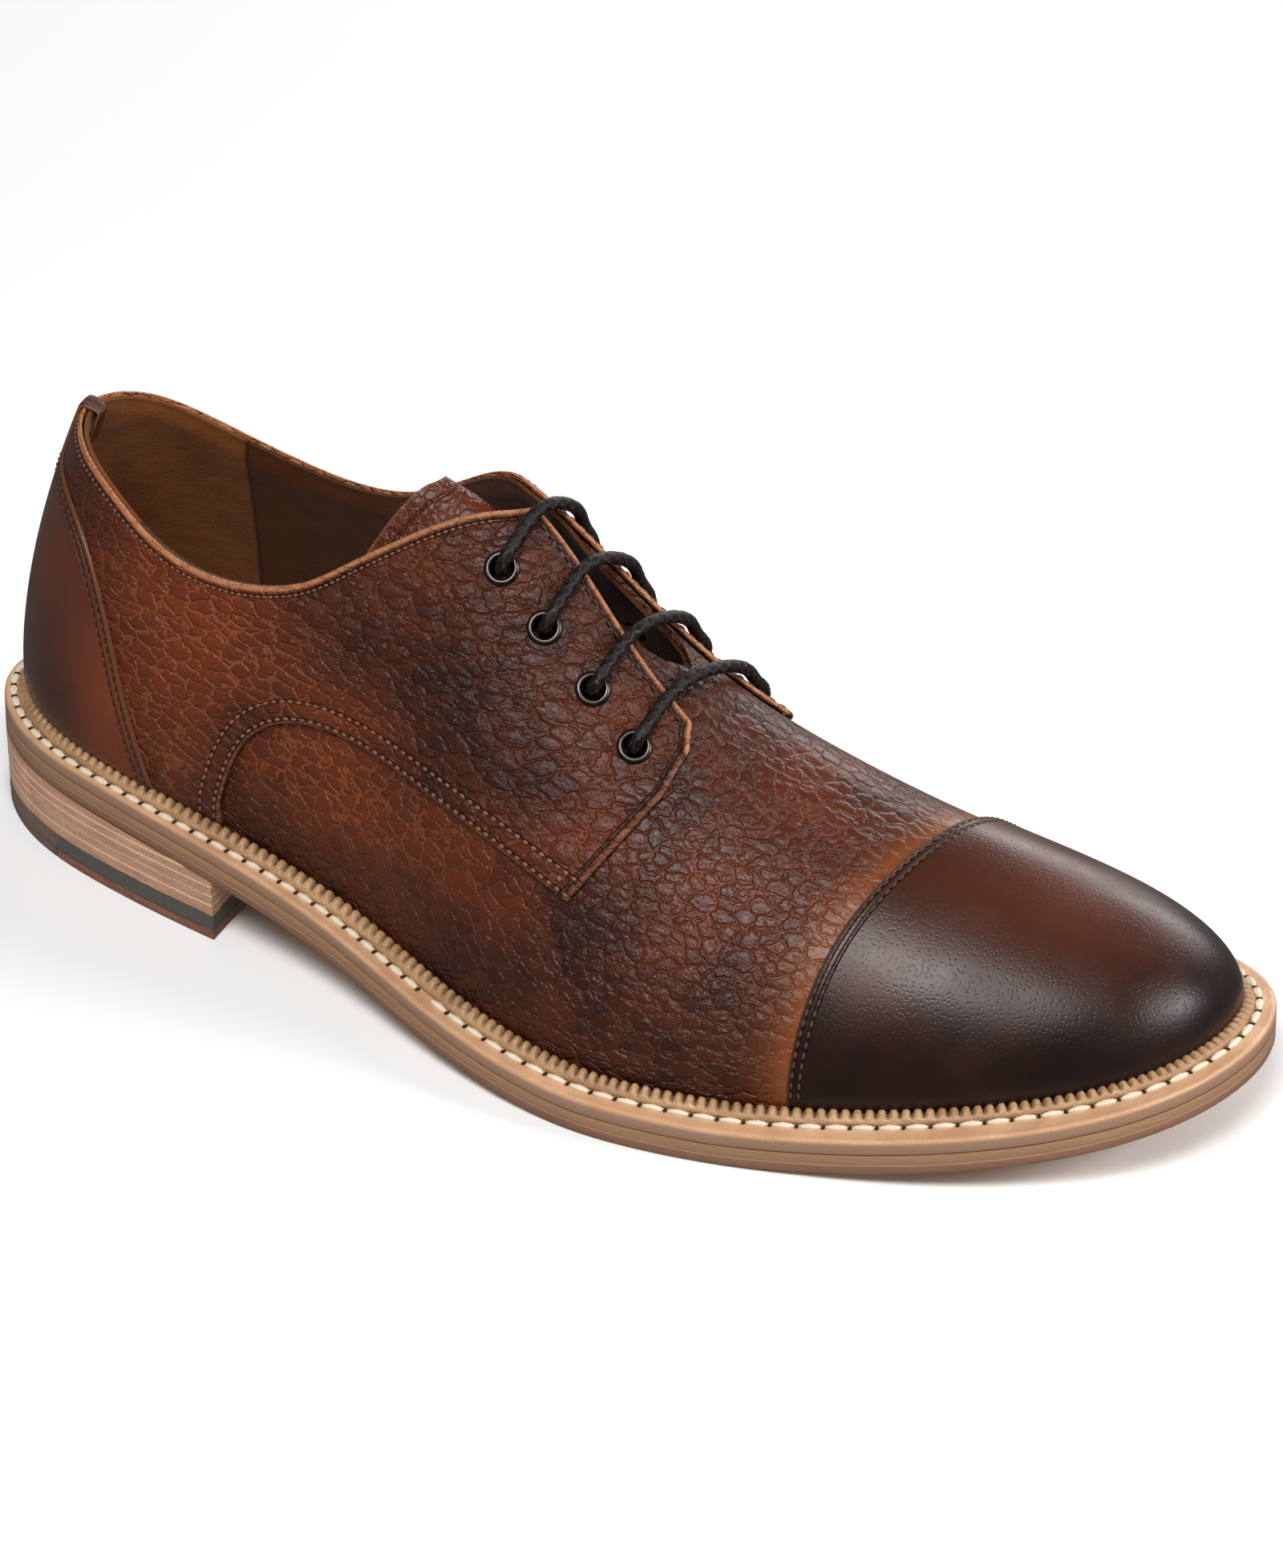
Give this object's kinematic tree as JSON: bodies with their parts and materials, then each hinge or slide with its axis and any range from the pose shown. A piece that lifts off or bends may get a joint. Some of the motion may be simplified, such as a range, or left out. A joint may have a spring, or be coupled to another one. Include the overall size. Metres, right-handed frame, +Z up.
{
  "type": "cap toe dress shoe",
  "caption": "Right men's derby dress shoe: hollow leather upper with toe cap, counter and laced facings on a welted leather sole with a stacked heel.",
  "frame": {"origin": "on the floor, under the middle of the footprint's box", "axes": "+X from heel to toe, +Y towards the medial (inner) side of this right shoe, +Z up from the floor"},
  "size_m": [0.3025, 0.1129, 0.1099],
  "materials": {
    "grain_leather": "reddish brown pebble grain, burnished darker towards the edges, half gloss",
    "cap_leather": "very dark brown smooth leather, burnished and polished",
    "tongue_leather": "reddish brown pebble grain",
    "insole_leather": "tan brown, matt",
    "welt_leather": "natural tan, half matt",
    "outsole_leather": "brown waxed sole edge",
    "heel_leather": "tan brown waxed stacked leather",
    "heel_rubber": "dark grey matt",
    "eyelet_metal": "dark antique metal, half gloss",
    "lace_cord": "black brown waxed round cord"
  },
  "bodies": {
    "root": {"upper": "grain_leather", "quarter_lateral": "grain_leather", "quarter_medial": "grain_leather", "toe_cap": "cap_leather", "heel_counter": "cap_leather", "back_strip": "cap_leather", "tongue": "tongue_leather", "insole": "insole_leather", "welt": "welt_leather", "outsole": "outsole_leather", "heel_lift_upper": "heel_leather", "heel_lift_lower": "heel_leather", "heel_tip": "heel_leather", "heel_rubber": "heel_rubber", "eyelet_lateral_1": "eyelet_metal", "eyelet_lateral_2": "eyelet_metal", "eyelet_lateral_3": "eyelet_metal", "eyelet_lateral_4": "eyelet_metal", "eyelet_medial_1": "eyelet_metal", "eyelet_medial_2": "eyelet_metal", "eyelet_medial_3": "eyelet_metal", "eyelet_medial_4": "eyelet_metal", "lace": "lace_cord"}
  },
  "joints": []
}
